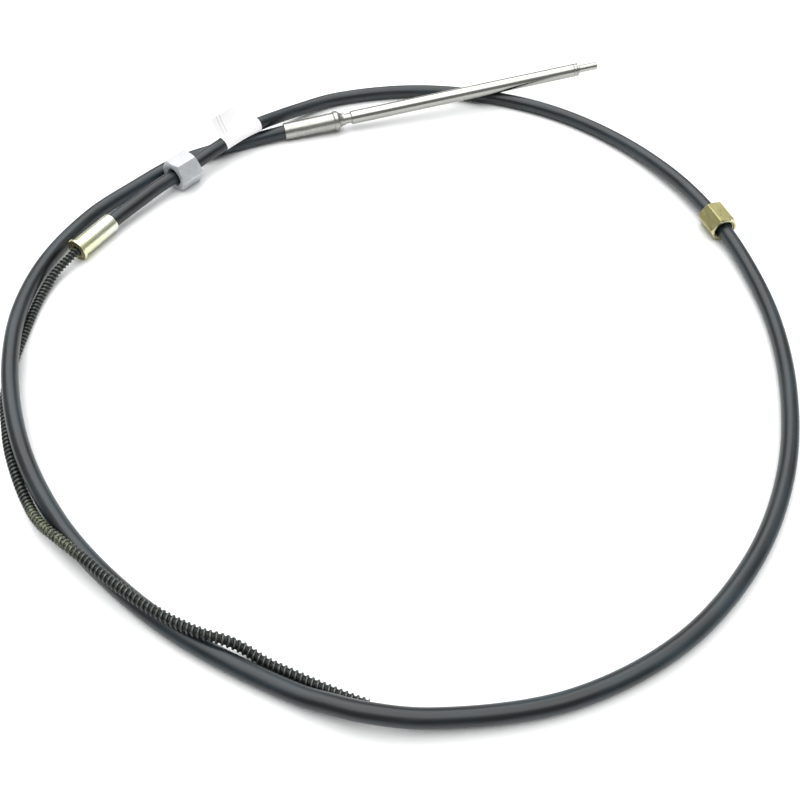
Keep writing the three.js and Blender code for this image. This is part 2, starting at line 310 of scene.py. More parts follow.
def add_node(tree, kind, settings=None, inputs=None):
    """A shader node with its settings, and its inputs set to values or linked to outputs."""
    node = tree.nodes.new(kind)
    for name, value in (settings or {}).items():
        setattr(node, name, value)
    for name, value in (inputs or {}).items():
        if isinstance(value, bpy.types.NodeSocket):
            tree.links.new(value, node.inputs[name])
        else:
            node.inputs[name].default_value = value
    return node


def start_material(name):
    """An empty node material, its tree, and the coordinates of the piece laid straight."""
    material = bpy.data.materials.new(name)
    material.use_nodes = True
    tree = material.node_tree
    tree.nodes.clear()
    straight = add_node(tree, "ShaderNodeAttribute", {"attribute_name": STRAIGHT})
    return material, tree, straight.outputs["Vector"]


def crest_height(tree):
    """How high a point stands, from 0 in the valleys to 1 on the crests."""
    return add_node(tree, "ShaderNodeAttribute", {"attribute_name": CREST}).outputs["Fac"]


def lengthwise(tree, straight):
    """The distance along the piece."""
    return add_node(tree, "ShaderNodeSeparateXYZ", inputs={"Vector": straight}).outputs["Z"]


def pattern(tree, coordinates, size, detail=2.0, roughness=0.5):
    """Noise whose lumps measure size, a length along each axis in millimetres."""
    scaled = add_node(
        tree,
        "ShaderNodeVectorMath",
        {"operation": "MULTIPLY"},
        {0: coordinates, 1: tuple(1 / (s * MM) for s in size)},
    )
    noise = add_node(
        tree,
        "ShaderNodeTexNoise",
        inputs={"Vector": scaled.outputs[0], "Scale": 1.0, "Detail": detail, "Roughness": roughness},
    )
    return noise.outputs["Fac"]


def spread(tree, value, from_low, from_high, low, high):
    """A value taken from one range to another and held inside it."""
    inputs = {"Value": value, "From Min": from_low, "From Max": from_high, "To Min": low, "To Max": high}
    return add_node(tree, "ShaderNodeMapRange", inputs=inputs).outputs["Result"]


def blend(tree, share, first, second):
    """The first colour at a share of 0 and the second at 1."""
    node = add_node(tree, "ShaderNodeMix", {"data_type": "RGBA"}, {0: share, 6: first, 7: second})
    return node.outputs[2]


def work_out(tree, operation, first, second=0.0):
    """A sum, product or other result of two values."""
    node = add_node(tree, "ShaderNodeMath", {"operation": operation}, {0: first, 1: second})
    return node.outputs[0]


def end_material(tree, colour, roughness, height, depth, metallic=0.0, shader=None):
    """The surface shader, with its bump from a height that spans depth in metres."""
    bump = add_node(
        tree,
        "ShaderNodeBump",
        inputs={"Strength": 1.0, "Distance": depth, "Height": height},
    )
    inputs = {"Base Color": colour, "Roughness": roughness, "Metallic": metallic}
    inputs["Normal"] = bump.outputs[0]
    inputs.update(shader or {})
    surface = add_node(tree, "ShaderNodeBsdfPrincipled", inputs=inputs)
    add_node(tree, "ShaderNodeOutputMaterial", inputs={"Surface": surface.outputs[0]})


def extruded_pvc(colours):
    """Plasticised PVC, extruded over the armour."""
    # Extrusion leaves a satin skin with faint lines along it, and handling a dusty bloom.
    material, tree, straight = start_material("extruded_black_pvc")
    lines = pattern(tree, straight, (0.9, 0.9, 180))
    skin = pattern(tree, straight, (0.35, 0.35, 0.6), detail=3)
    bloom = pattern(tree, straight, (9, 9, 70), detail=4)
    share = spread(tree, bloom, 0.42, 0.72, 0.0, 0.75)
    colour = blend(tree, share, colours.jacket, colours.jacket_haze)
    roughness = spread(tree, bloom, 0.3, 0.7, 0.3, 0.42)
    height = work_out(tree, "ADD", lines, work_out(tree, "MULTIPLY", skin, 0.5))
    end_material(tree, colour, roughness, height, 0.03 * MM, shader={"IOR": 1.5})
    return material


def wound_steel(colours):
    """Carbon steel wire, drawn and wound, under a film of grease."""
    # The valleys keep the dark greased colour, and the crests are painted lighter: partly steel worn
    # bright by the gear and the liner, partly a painted highlight.
    material, tree, straight = start_material("wound_carbon_steel_greased_highlit_crests")
    crest = crest_height(tree)
    clots = pattern(tree, straight, (1.2, 1.2, 1.2), detail=3)
    film = pattern(tree, straight, (4, 4, 25))
    # Painted highlight with wear: the higher a point stands on a tooth, the more crest colour it gets
    bright = spread(tree, crest, 0.8, 1.0, 0.0, 0.6)
    worn_and_highlit = work_out(tree, "MULTIPLY", bright, spread(tree, clots, 0.35, 0.62, 0.15, 1.0))
    steel = blend(tree, worn_and_highlit, colours.core, colours.core_crest_worn_and_highlight)
    along = lengthwise(tree, straight)
    first, last = (CORE.nearest(point) for point in CAKED_STRETCH)
    rise = spread(tree, along, first, first + 20 * MM, 0.0, 1.0)
    fall = spread(tree, along, last - 20 * MM, last, 1.0, 0.0)
    caked = work_out(tree, "MULTIPLY", work_out(tree, "MULTIPLY", rise, fall), 0.75)
    grease = work_out(tree, "MULTIPLY", caked, spread(tree, clots, 0.45, 0.6, 0.0, 1.0))
    colour = blend(tree, grease, steel, colours.core_grease)
    roughness = spread(tree, film, 0.3, 0.7, 0.34, 0.55)
    metallic = work_out(tree, "SUBTRACT", 0.85, work_out(tree, "MULTIPLY", grease, 0.8))
    end_material(tree, colour, roughness, clots, 0.06 * MM, metallic)
    return material


def yellow_zinc(colours):
    """Mild steel tube, zinc plated and yellow passivated."""
    # The passivation is a thin film, so it drifts from lemon to nearly clear along the tube.
    material, tree, straight = start_material("turned_steel_yellow_zinc")
    clouds = pattern(tree, straight, (5, 5, 22), detail=3)
    along = lengthwise(tree, straight)
    drift = spread(tree, along, 4 * MM, 42 * MM, 0.05, 0.8)
    share = add_node(
        tree,
        "ShaderNodeMath",
        {"operation": "ADD", "use_clamp": True},
        {0: drift, 1: spread(tree, clouds, 0.3, 0.7, -0.35, 0.35)},
    ).outputs[0]
    colour = blend(tree, share, colours.yellow_zinc, colours.pale_zinc)
    turning = pattern(tree, straight, (40, 40, 0.25))
    roughness = spread(tree, clouds, 0.3, 0.7, 0.2, 0.32)
    end_material(tree, colour, roughness, turning, 0.008 * MM, 1.0)
    return material


def stained_zinc(colours):
    """The same yellow zinc where it is faced off, stained by grease from the core."""
    # Facing leaves rings, and old grease dries to mottled brown patches in them.
    material, tree, straight = start_material("faced_steel_stained_zinc")
    blots = pattern(tree, straight, (2.2, 2.2, 2.2), detail=4, roughness=0.65)
    share = spread(tree, blots, 0.48, 0.72, 0.0, 1.0)
    colour = blend(tree, share, colours.ferrule_face, colours.yellow_zinc)
    roughness = spread(tree, blots, 0.35, 0.65, 0.6, 0.3)
    metallic = spread(tree, blots, 0.35, 0.65, 0.35, 1.0)
    end_material(tree, colour, roughness, blots, 0.05 * MM, metallic)
    return material


def bright_zinc(colours):
    """Mild steel bar, machined and clear zinc plated."""
    # The plating is milky and slightly granular, so faces stay pale without sharp reflections.
    material, tree, straight = start_material("machined_steel_bright_zinc")
    grain = pattern(tree, straight, (0.5, 0.5, 0.5), detail=4, roughness=0.6)
    clouds = pattern(tree, straight, (6, 6, 6), detail=3)
    dull = blend(tree, 0.88, BLACK, colours.bright_zinc)
    colour = blend(tree, spread(tree, clouds, 0.35, 0.65, 0.0, 1.0), dull, colours.bright_zinc)
    roughness = spread(tree, clouds, 0.3, 0.7, 0.42, 0.55)
    end_material(tree, colour, roughness, grain, 0.02 * MM, 0.6)
    return material


def olive_zinc(colours):
    """Mild steel bar, machined and olive chromated."""
    # Chromate clouds run from olive to gold, with the cutter's lines still under them.
    material, tree, straight = start_material("machined_steel_olive_zinc")
    clouds = pattern(tree, straight, (5, 5, 12), detail=4, roughness=0.6)
    cutter = pattern(tree, straight, (0.3, 0.3, 30))
    share = spread(tree, clouds, 0.36, 0.64, 0.0, 1.0)
    colour = blend(tree, share, colours.olive_zinc, colours.gold_zinc)
    roughness = spread(tree, clouds, 0.3, 0.7, 0.26, 0.4)
    end_material(tree, colour, roughness, cutter, 0.012 * MM, 0.6)
    return material


def highlit_turned_olive_zinc(colours):
    """The same olive zinc on the turned chamfers and faces, painted paler as a highlight."""
    # The turned chamfers, faces and thread are painted paler and brighter than the flats, as a painted
    # highlight.
    material, tree, straight = start_material("turned_steel_gold_zinc_painted_highlight")
    rings = pattern(tree, straight, (30, 30, 0.2))
    clouds = pattern(tree, straight, (4, 4, 4), detail=3)
    # Painted highlight: the turned faces are mixed towards pale gold
    pale = blend(tree, 0.55, colours.gold_zinc, HIGHLIGHT_PALE_GOLD)
    colour = blend(tree, spread(tree, clouds, 0.35, 0.65, 0.0, 1.0), colours.gold_zinc, pale)
    roughness = spread(tree, clouds, 0.3, 0.7, 0.2, 0.3)
    end_material(tree, colour, roughness, rings, 0.008 * MM, 1.0)
    return material


def turned_stainless(colours):
    """Austenitic stainless steel, turned."""
    # The tool leaves fine rings that stretch highlights across them.
    material, tree, straight = start_material("turned_stainless_steel")
    rings = pattern(tree, straight, (60, 60, 0.3), detail=3)
    smears = pattern(tree, straight, (4, 4, 9), detail=3)
    shade = blend(tree, 0.8, BLACK, colours.stainless)
    colour = blend(tree, spread(tree, smears, 0.3, 0.7, 0.0, 1.0), shade, colours.stainless)
    roughness = spread(tree, rings, 0.3, 0.7, 0.24, 0.34)
    end_material(tree, colour, roughness, rings, 0.012 * MM, 1.0)
    return material


def ground_stainless(colours):
    """Austenitic stainless steel, centreless ground."""
    # Grinding marks are finer than the render shows, so they are drawn 0.4 mm apart.
    material, tree, straight = start_material("ground_stainless_steel")
    marks = pattern(tree, straight, (50, 50, 0.4))
    smears = pattern(tree, straight, (5, 5, 40), detail=3)
    shade = blend(tree, 0.88, BLACK, colours.stainless)
    colour = blend(tree, spread(tree, smears, 0.3, 0.7, 0.0, 1.0), shade, colours.stainless)
    roughness = spread(tree, marks, 0.3, 0.7, 0.16, 0.22)
    end_material(tree, colour, roughness, marks, 0.004 * MM, 1.0)
    return material


def label_film(colours):
    """White vinyl film, calendered and coated with adhesive."""
    # Film is smooth with a slight ripple where the fingers pressed it down.
    material, tree, straight = start_material("calendered_white_vinyl")
    ripple = pattern(tree, straight, (5, 5, 8), detail=2)
    grain = pattern(tree, straight, (0.3, 0.3, 0.3))
    # The crests of the film are its printed rules.
    share = spread(tree, crest_height(tree), 0.4, 0.6, 0.0, 1.0)
    colour = blend(tree, share, colours.label, colours.label_rule)
    height = work_out(tree, "ADD", ripple, work_out(tree, "MULTIPLY", grain, 0.06))
    end_material(tree, colour, 0.5, height, 0.12 * MM, shader={"IOR": 1.5})
    return material


def floor_board(colours):
    """White melamine board, pressed."""
    # It is pale and nearly matt, with a faint gloss under the pieces that touch it.
    material = bpy.data.materials.new("pressed_white_melamine")
    material.use_nodes = True
    tree = material.node_tree
    tree.nodes.clear()
    place = add_node(tree, "ShaderNodeTexCoord").outputs["Object"]
    grain = pattern(tree, place, (3, 3, 3))
    roughness = spread(tree, grain, 0.3, 0.7, 0.5, 0.58)
    end_material(tree, colours.floor, roughness, grain, 0.01 * MM)
    return material


def build_mesh(name, points, faces, straight, crest=None, face_looks=None):
    """A mesh with its coordinates laid straight, merged points, closed ends and smooth faces."""
    mesh = bpy.data.meshes.new(name)
    mesh.from_pydata(points.tolist(), [], faces)
    laid = mesh.attributes.new(STRAIGHT, "FLOAT_VECTOR", "POINT")
    laid.data.foreach_set("vector", straight.astype(np.float32).ravel())
    if crest is not None:
        height = mesh.attributes.new(CREST, "FLOAT", "POINT")
        height.data.foreach_set("value", crest.astype(np.float32).ravel())
    if face_looks is not None:
        mesh.polygons.foreach_set("material_index", face_looks)
    body = bmesh.new()
    body.from_mesh(mesh)
    bmesh.ops.remove_doubles(body, verts=body.verts, dist=MERGE)
    bmesh.ops.dissolve_degenerate(body, edges=body.edges, dist=1e-8)
    bmesh.ops.holes_fill(body, edges=body.edges)
    bmesh.ops.recalc_face_normals(body, faces=body.faces)
    body.to_mesh(mesh)
    body.free()
    mesh.polygons.foreach_set("use_smooth", [True] * len(mesh.polygons))
    mesh.set_sharp_from_angle(angle=SHARP_ANGLE)
    mesh.update()
    return mesh


def add_piece(mesh, materials, body, node):
    """An object for a mesh that rides on a body and stands for a node."""
    piece = bpy.data.objects.new(mesh.name, mesh)
    for material in materials:
        mesh.materials.append(material)
    bpy.context.scene.collection.objects.link(piece)
    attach(piece, body)
    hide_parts(node)
    return piece


def grid_faces(rows, columns, wrap_rows=False):
    """Quads over closed rows of points that are numbered row by row."""
    faces = []
    for row in range(rows if wrap_rows else rows - 1):
        below = (row + 1) % rows
        for column in range(columns):
            beside = (column + 1) % columns
            corners = (row, column), (row, beside), (below, beside), (below, column)
            faces.append(tuple(r * columns + c for r, c in corners))
    return faces


def swept(route, distances, radius, sides):
    """Rings round a route: points, faces and coordinates laid straight."""
    centres, _, across, up = route.frames(distances)
    angles = np.arange(sides) * 2 * math.pi / sides
    x = radius * np.cos(angles)[None, :, None]
    y = radius * np.sin(angles)[None, :, None]
    points = centres[:, None] + across[:, None] * x + up[:, None] * y
    along = np.broadcast_to(np.asarray(distances)[:, None, None], (len(distances), sides, 1))
    flat = np.broadcast_to(np.concatenate([x, y], 2), (len(distances), sides, 2))
    straight = np.concatenate([flat, along], 2)
    faces = grid_faces(len(distances), sides)
    return points.reshape(-1, 3), faces, straight.reshape(-1, 3)


def turned(profile, sides):
    """A closed profile of radius and height in millimetres, turned about +Z."""
    rings = np.array(profile, float) * MM
    angles = np.arange(sides) * 2 * math.pi / sides
    x = rings[:, 0, None] * np.cos(angles)
    y = rings[:, 0, None] * np.sin(angles)
    z = np.broadcast_to(rings[:, 1, None], x.shape)
    points = np.stack([x, y, z], -1).reshape(-1, 3)
    return points, grid_faces(len(rings), sides, wrap_rows=True)


def laid_along(points, origin, axis):
    """Points whose +Z is laid along an axis from an origin."""
    turn = np.array(axis.to_track_quat("Z", "Y").to_matrix())
    return points @ turn.T + np.array(origin)


def turned_mesh(name, profile, origin, axis, sides, face_looks=None):
    """A turned piece laid along its axis."""
    points, faces = turned(profile, sides)
    return build_mesh(name, laid_along(points, origin, axis), faces, points, face_looks=face_looks)


def arc(centre, radius, start, end, steps):
    """Profile points on an arc, its angles in degrees."""
    angles = [math.radians(start + (end - start) * i / steps) for i in range(steps + 1)]
    return [(centre[0] + radius * math.cos(a), centre[1] + radius * math.sin(a)) for a in angles]


def rounded_hexagon(flats, corner_radius, flat_steps=8, corner_steps=5):
    """The outline of a hexagon with its corners on the Y axis and broken by an arc."""
    reach = (flats / 2 - corner_radius) / math.cos(math.pi / 6)
    outline = []
    for corner in range(6):
        middle = math.pi / 2 + corner * math.pi / 3
        centre = (reach * math.cos(middle), reach * math.sin(middle))
        for step in range(corner_steps + 1):
            angle = middle - math.pi / 6 + step * math.pi / 3 / corner_steps
            x = centre[0] + corner_radius * math.cos(angle)
            y = centre[1] + corner_radius * math.sin(angle)
            outline.append((x, y))
        end = outline[-1]
        ahead = middle + math.pi / 3
        start = (
            reach * math.cos(ahead) + corner_radius * math.cos(ahead - math.pi / 6),
            reach * math.sin(ahead) + corner_radius * math.sin(ahead - math.pi / 6),
        )
        for step in range(1, flat_steps):
            share = step / flat_steps
            outline.append(tuple(e + (s - e) * share for e, s in zip(end, start)))
    return np.array(outline)


def nut_mesh(name, sizes, flats, length, bore, rear_hole):
    """A hexagon nut about +Z, its thread open at the front, with looks 0 flats and 1 turned."""
    corner_radius = 1.6
    chamfer = 2.4
    chamfer_overrun = 1
    face_inset = 0.6
    rear_wall = 5
    rear_edge = 0.5
    mouth_depth = 0.8
    mouth_widening = 0.9
    thread_inset = 0.1
    thread_end = rear_wall + 1.8
    relief_end = rear_wall + 1.5
    unthreaded = 3
    rows_per_pitch = 6
    flank_slope = 1.6
    flat_share = 0.3

    face_radius = flats / 2 - face_inset
    outside = flats / math.sqrt(3) + chamfer_overrun
    outline = rounded_hexagon(flats, corner_radius)
    radii = np.linalg.norm(outline, axis=1)
    turn = outline / radii[:, None]
    slope = chamfer / (outside - face_radius)
    cut = np.maximum(radii - face_radius, 0) * slope
    face = np.minimum(radii, face_radius)
    angles = np.arctan2(outline[:, 1], outline[:, 0])
    pitch = sizes.thread_pitch / MM
    depth = sizes.thread_depth / MM

    rows = []
    looks = []

    def add_row(radius, height, look):
        ones = np.ones(len(outline))
        rows.append((radius * ones, height * ones))
        looks.append(look)

    add_row(rear_hole, rear_edge, 1)
    add_row(rear_hole + rear_edge, 0, 1)
    add_row(face, 0, 1)
    add_row(radii, cut, 0)
    for share in (0.25, 0.5, 0.75):
        add_row(radii, cut + (length - 2 * cut) * share, 0)
    add_row(radii, length - cut, 1)
    add_row(face, length, 1)
    thread_start = length - mouth_depth
    add_row(bore + mouth_widening, length, 1)
    add_row(bore + thread_inset, thread_start, 1)
    steps = int((length - rear_wall - unthreaded) / pitch * rows_per_pitch)
    for step in range(steps + 1):
        height = thread_start - (thread_start - thread_end) * step / steps
        phase = (height / pitch - angles / (2 * math.pi)) % 1
        root = np.clip(flank_slope * np.abs(2 * phase - 1) - flat_share, 0, 1)
        add_row(bore - depth * (1 - root), height, 1)
    add_row(bore, relief_end, 1)
    add_row(rear_hole, rear_wall, 1)
    add_row(rear_hole, rear_wall / 2, 1)

    points = []
    for radius, height in rows:
        points.append(np.stack([turn[:, 0] * radius, turn[:, 1] * radius, height], 1))
    local = np.concatenate(points) * MM
    faces = grid_faces(len(rows), len(outline), wrap_rows=True)
    face_looks = np.repeat(looks, len(outline)).tolist()
    return local, faces, face_looks


def add_nut(name, sizes, joint, shape, materials, body):
    """A nut on its hinge's axis, its thread towards the front."""
    flats, length, bore, rear_hole = shape
    local, faces, face_looks = nut_mesh(name, sizes, flats, length, bore, rear_hole)
    centre = np.array(JOINTS[joint]["pos_m"])
    front = np.array(Vector(JOINTS[joint]["axis"]).normalized())
    up = np.array((0.0, 0.0, 1.0))
    side = np.cross(front, up)
    turn = np.stack([up, side, front], 1)
    points = (local - (0, 0, length / 2 * MM)) @ turn.T + centre
    mesh = build_mesh(name, points, faces, local, face_looks=face_looks)
    return add_piece(mesh, materials, body, body)


class CABLE_OT_camera(Operator):
    """Adds the camera that looks down at the loop."""

    bl_idname = "cable.camera"
    bl_label = "Add camera"

    def execute(self, context):
        data = bpy.data.cameras.new("camera")
        data.sensor_width = SENSOR_WIDTH
        data.lens = CAMERA_LENS
        camera = bpy.data.objects.new("camera", data)
        camera.location = CAMERA_PLACE
        camera.rotation_euler = (math.pi / 2 - CAMERA_DOWN, 0, 0)
        context.scene.collection.objects.link(camera)
        context.scene.camera = camera
        return {"FINISHED"}


class CABLE_OT_jacket(Operator):
    bl_idname = "cable.jacket"
    bl_label = "Add jacket"

    STEP = 4 * MM
    SIDES = 36
    SEATED = 8 * MM

    def execute(self, context):
        sizes = context.scene.cable_sizes
        count = int((JACKET.length - self.SEATED) / self.STEP)
        distances = np.linspace(self.SEATED, JACKET.length, count)
        points, faces, straight = swept(JACKET, distances, sizes.jacket / 2, self.SIDES)
        mesh = build_mesh("jacket_cover", points, faces, straight)
        plastic = extruded_pvc(context.scene.cable_colours)
        add_piece(mesh, [plastic], "cable", "outer_jacket")
        return {"FINISHED"}


class CABLE_OT_core(Operator):
    """Adds the wound core, its teeth one helix from end to end."""

    bl_idname = "cable.core"
    bl_label = "Add core"

    ROUND = 24
    PER_PITCH = 20
    FILLERS = 2
    FILLER_SINK = 0.55
    LINED_POINTS = 200

    def radius(self, phase, sizes):
        """Distance from the axis to the surface at a phase of the helix, 0 at a tooth's crest."""
        pitch = sizes.tooth_pitch
        wire = sizes.tooth_wire / 2
        filler = sizes.filler_wire / 2
        seat = sizes.core / 2 - wire
        offset = (phase - np.round(phase)) * pitch
        tooth = seat + np.sqrt(np.maximum(wire**2 - offset**2, 0))
        gap = pitch - 2 * wire
        place = (np.abs(offset) - wire) / gap * self.FILLERS
        beside = (place % 1 - 0.5) * gap / self.FILLERS
        bed = seat - wire * self.FILLER_SINK
        wound = bed + np.sqrt(np.maximum(filler**2 - beside**2, 0))
        return np.where(np.abs(offset) < wire, tooth, wound)

    def execute(self, context):
        sizes = context.scene.cable_sizes
        pitch = sizes.tooth_pitch
        rows = int((CORE.length / pitch + 2) * self.PER_PITCH)
        row = np.arange(rows)[:, None]
        column = np.arange(self.ROUND)[None, :]
        distance = pitch * (row / self.PER_PITCH + column / self.ROUND - 1)
        phase = np.broadcast_to(row / self.PER_PITCH, distance.shape)
        radius = self.radius(phase, sizes)
        end_radius = sizes.core / 2 - sizes.tooth_wire
        inside = (distance > 0) & (distance < CORE.length)
        radius = np.where(inside, radius, end_radius)
        distance = np.clip(distance, 0, CORE.length)
        centres, _, across, up = CORE.frames(distance)
        angle = np.broadcast_to(column * 2 * math.pi / self.ROUND, distance.shape)
        x = radius * np.cos(angle)
        y = radius * np.sin(angle)
        points = centres + across * x[..., None] + up * y[..., None]
        straight = np.stack([x, y, distance], -1)
        crest = (radius - end_radius) / sizes.tooth_wire
        faces = []
        for r in range(rows - self.PER_PITCH - 1):
            for c in range(self.ROUND):
                last = c + 1 == self.ROUND
                beside = (r + self.PER_PITCH) * self.ROUND if last else r * self.ROUND + c + 1
                here = r * self.ROUND + c
                faces.append((here, beside, beside + self.ROUND, here + self.ROUND))
        mesh = build_mesh("wound_core", points.reshape(-1, 3), faces, straight.reshape(-1, 3), crest)
        steel = wound_steel(context.scene.cable_colours)
        piece = add_piece(mesh, [steel], "cable", "drive_core")
        return {"FINISHED"}


class CABLE_OT_ferrule(Operator):
    """Adds the plated ferrule with its flange."""

    bl_idname = "cable.ferrule"
    bl_label = "Add ferrule"

    LENGTH = 55
    RADIUS = 10.3
    FLANGE = 12.4
    FLANGE_THICKNESS = 3
    CORE_BORE = 5.4
    JACKET_BORE = 8.3
    SEAT = 19.6
    FILLET = 0.6
    CRIMP = 1.6
    CRIMP_ANGLE = 70
    RING_SPACING = 6

    def profile(self):
        """Radius and height round the section, from the core's bore outwards."""
        step = self.FLANGE_THICKNESS
        root = self.RADIUS + self.FILLET
        shoulder = self.LENGTH - self.CRIMP
        rings = range(self.RING_SPACING, self.LENGTH - 2, self.RING_SPACING)
        return [
            (self.CORE_BORE, 0.8),
            (self.CORE_BORE + 0.8, 0),
            (self.FLANGE - 0.5, 0),
            (self.FLANGE, 0.5),
            (self.FLANGE, step - 0.4),
            (self.FLANGE - 0.4, step),
            (root, step),
            *arc((root, step + self.FILLET), self.FILLET, -90, -180, 4)[1:],
            *[(self.RADIUS, height) for height in rings],
            (self.RADIUS, shoulder),
            *arc((self.RADIUS - self.CRIMP, shoulder), self.CRIMP, 0, self.CRIMP_ANGLE, 5)[1:],
            (self.JACKET_BORE + 0.1, self.LENGTH - 0.2),
            (self.JACKET_BORE, self.LENGTH - 0.8),
            (self.JACKET_BORE, self.SEAT),
            (self.CORE_BORE, self.SEAT),
        ]

    def execute(self, context):
        sizes = context.scene.cable_sizes
        profile = self.profile()
        # Only the two bands round the core's bore, the chamfer and the end face, are stained.
        looks = [1, 1] + [0] * (len(profile) - 2)
        face_looks = np.repeat(looks, sizes.sides).tolist()
        place = (FERRULE_FACE, FERRULE_AXIS)
        mesh = turned_mesh("ferrule_shell", profile, *place, sizes.sides, face_looks)
        colours = context.scene.cable_colours
        finishes = [yellow_zinc(colours), stained_zinc(colours)]
        add_piece(mesh, finishes, "cable", "helm_ferrule")
        return {"FINISHED"}


class CABLE_OT_nuts(Operator):
    """Adds both loose hexagon nuts."""

    bl_idname = "cable.nuts"
    bl_label = "Add nuts"

    # Across flats, length, bore radius and rear hole radius, in millimetres
    HELM = (34, 29, 10.6, 9.3)
    TILT = (27, 32, 10.6, 8.6)

    def execute(self, context):
        sizes = context.scene.cable_sizes
        colours = context.scene.cable_colours
        pale = [bright_zinc(colours)] * 2
        # The second finish carries the painted highlight on the turned faces.
        olive = [olive_zinc(colours), highlit_turned_olive_zinc(colours)]
        nuts = (
            ("helm_nut_plated", "helm_nut_spin", self.HELM, pale, "helm_nut", "bright_zinc"),
            ("tilt_nut_plated", "tilt_nut_spin", self.TILT, olive, "tilt_tube_nut", "olive_zinc"),
        )
        for name, joint, shape, finishes, body, slot in nuts:
            add_nut(name, sizes, joint, shape, finishes, body)
        return {"FINISHED"}


class CABLE_OT_label(Operator):
    """Adds the label, wrapped round the jacket with its ends stuck together as a flag."""

    bl_idname = "cable.label"
    bl_label = "Add label"

    START = 206 * MM
    END = 257 * MM
    FLAG = 24 * MM
    GAP = 0.15 * MM
    RISE = math.radians(64)
    TURNS = 40
    # Where each layer leaves the flag and comes back to it, in degrees
    OUTER_TURN = (4, 356)
    INNER_TURN = (359, 1)
    LEAF_STEPS = 14
    RINGS = 40
    LINED_POINTS = 600
    ADHESIVE = 0.15 * MM
    # The flag leans by this angle at its edge, in this many half waves from this phase
    CURL = 0.10
    CURL_WAVES = 1.3
    CURL_PHASE = 0.4
    # Distances from the label's start to its two printed rules, a rule's width, and its cuts
    RULES = (7 * MM, 11 * MM)
    RULE_WIDTH = 0.7 * MM
    RULE_CUTS = (-1, -0.5, 0.5, 1)

    def outline(self, inner, film):
        """Points of the section, and the share of the flag's height that each one is at."""
        outer = inner + film
        down = np.linspace(1, 0, self.LEAF_STEPS, endpoint=False)
        up = np.linspace(0, 1, self.LEAF_STEPS + 1)[1:]
        points = []
        lifts = []

        def add_leaf(shares, offset):
            points.extend((outer + self.FLAG * share, offset) for share in shares)
            lifts.extend(shares)

        layers = (
            (outer, self.GAP / 2 + film, self.OUTER_TURN),
            (inner, -self.GAP / 2, self.INNER_TURN),
        )
        for radius, offset, degrees in layers:
            add_leaf(down, offset)
            turns = np.radians(np.linspace(*degrees, self.TURNS))
            points.extend((radius * math.cos(turn), radius * math.sin(turn)) for turn in turns)
            lifts.extend([0] * self.TURNS)
            add_leaf(up, -offset)
        return np.array(points), np.array(lifts)

    def execute(self, context):
        sizes = context.scene.cable_sizes
        inner = sizes.jacket / 2 + self.ADHESIVE
        section, lifts = self.outline(inner, sizes.label_film)
        cuts = [rule + cut * self.RULE_WIDTH for rule in self.RULES for cut in self.RULE_CUTS]
        rings = np.linspace(self.START, self.END, self.RINGS)
        distances = np.sort([*rings, *(self.START + cut for cut in cuts)])
        share = (distances - self.START) / (self.END - self.START)
        centres, _, across, up = JACKET.frames(distances)
        wave = np.sin(share * math.pi * self.CURL_WAVES + self.CURL_PHASE)
        angle = self.RISE + self.CURL * wave[:, None] * lifts[None, :] ** 2
        x = section[None, :, 0] * np.cos(angle) - section[None, :, 1] * np.sin(angle)
        y = section[None, :, 0] * np.sin(angle) + section[None, :, 1] * np.cos(angle)
        points = centres[:, None] + across[:, None] * x[..., None] + up[:, None] * y[..., None]
        along = np.broadcast_to(distances[:, None], x.shape)
        flat = np.broadcast_to(section[None], (*x.shape, 2))
        straight = np.concatenate([flat, along[..., None]], 2)
        from_rule = np.abs(distances[:, None] - self.START - np.array(self.RULES)).min(axis=1)
        printed = (from_rule < 0.6 * self.RULE_WIDTH)[:, None] * (lifts > 0)[None, :]
        points = points.reshape(-1, 3)
        straight = straight.reshape(-1, 3)
        faces = grid_faces(len(distances), len(section))
        mesh = build_mesh("label_wrap", points, faces, straight, printed)
        colours = context.scene.cable_colours
        label = add_piece(mesh, [label_film(colours)], "cable", "cable_label")
        return {"FINISHED"}


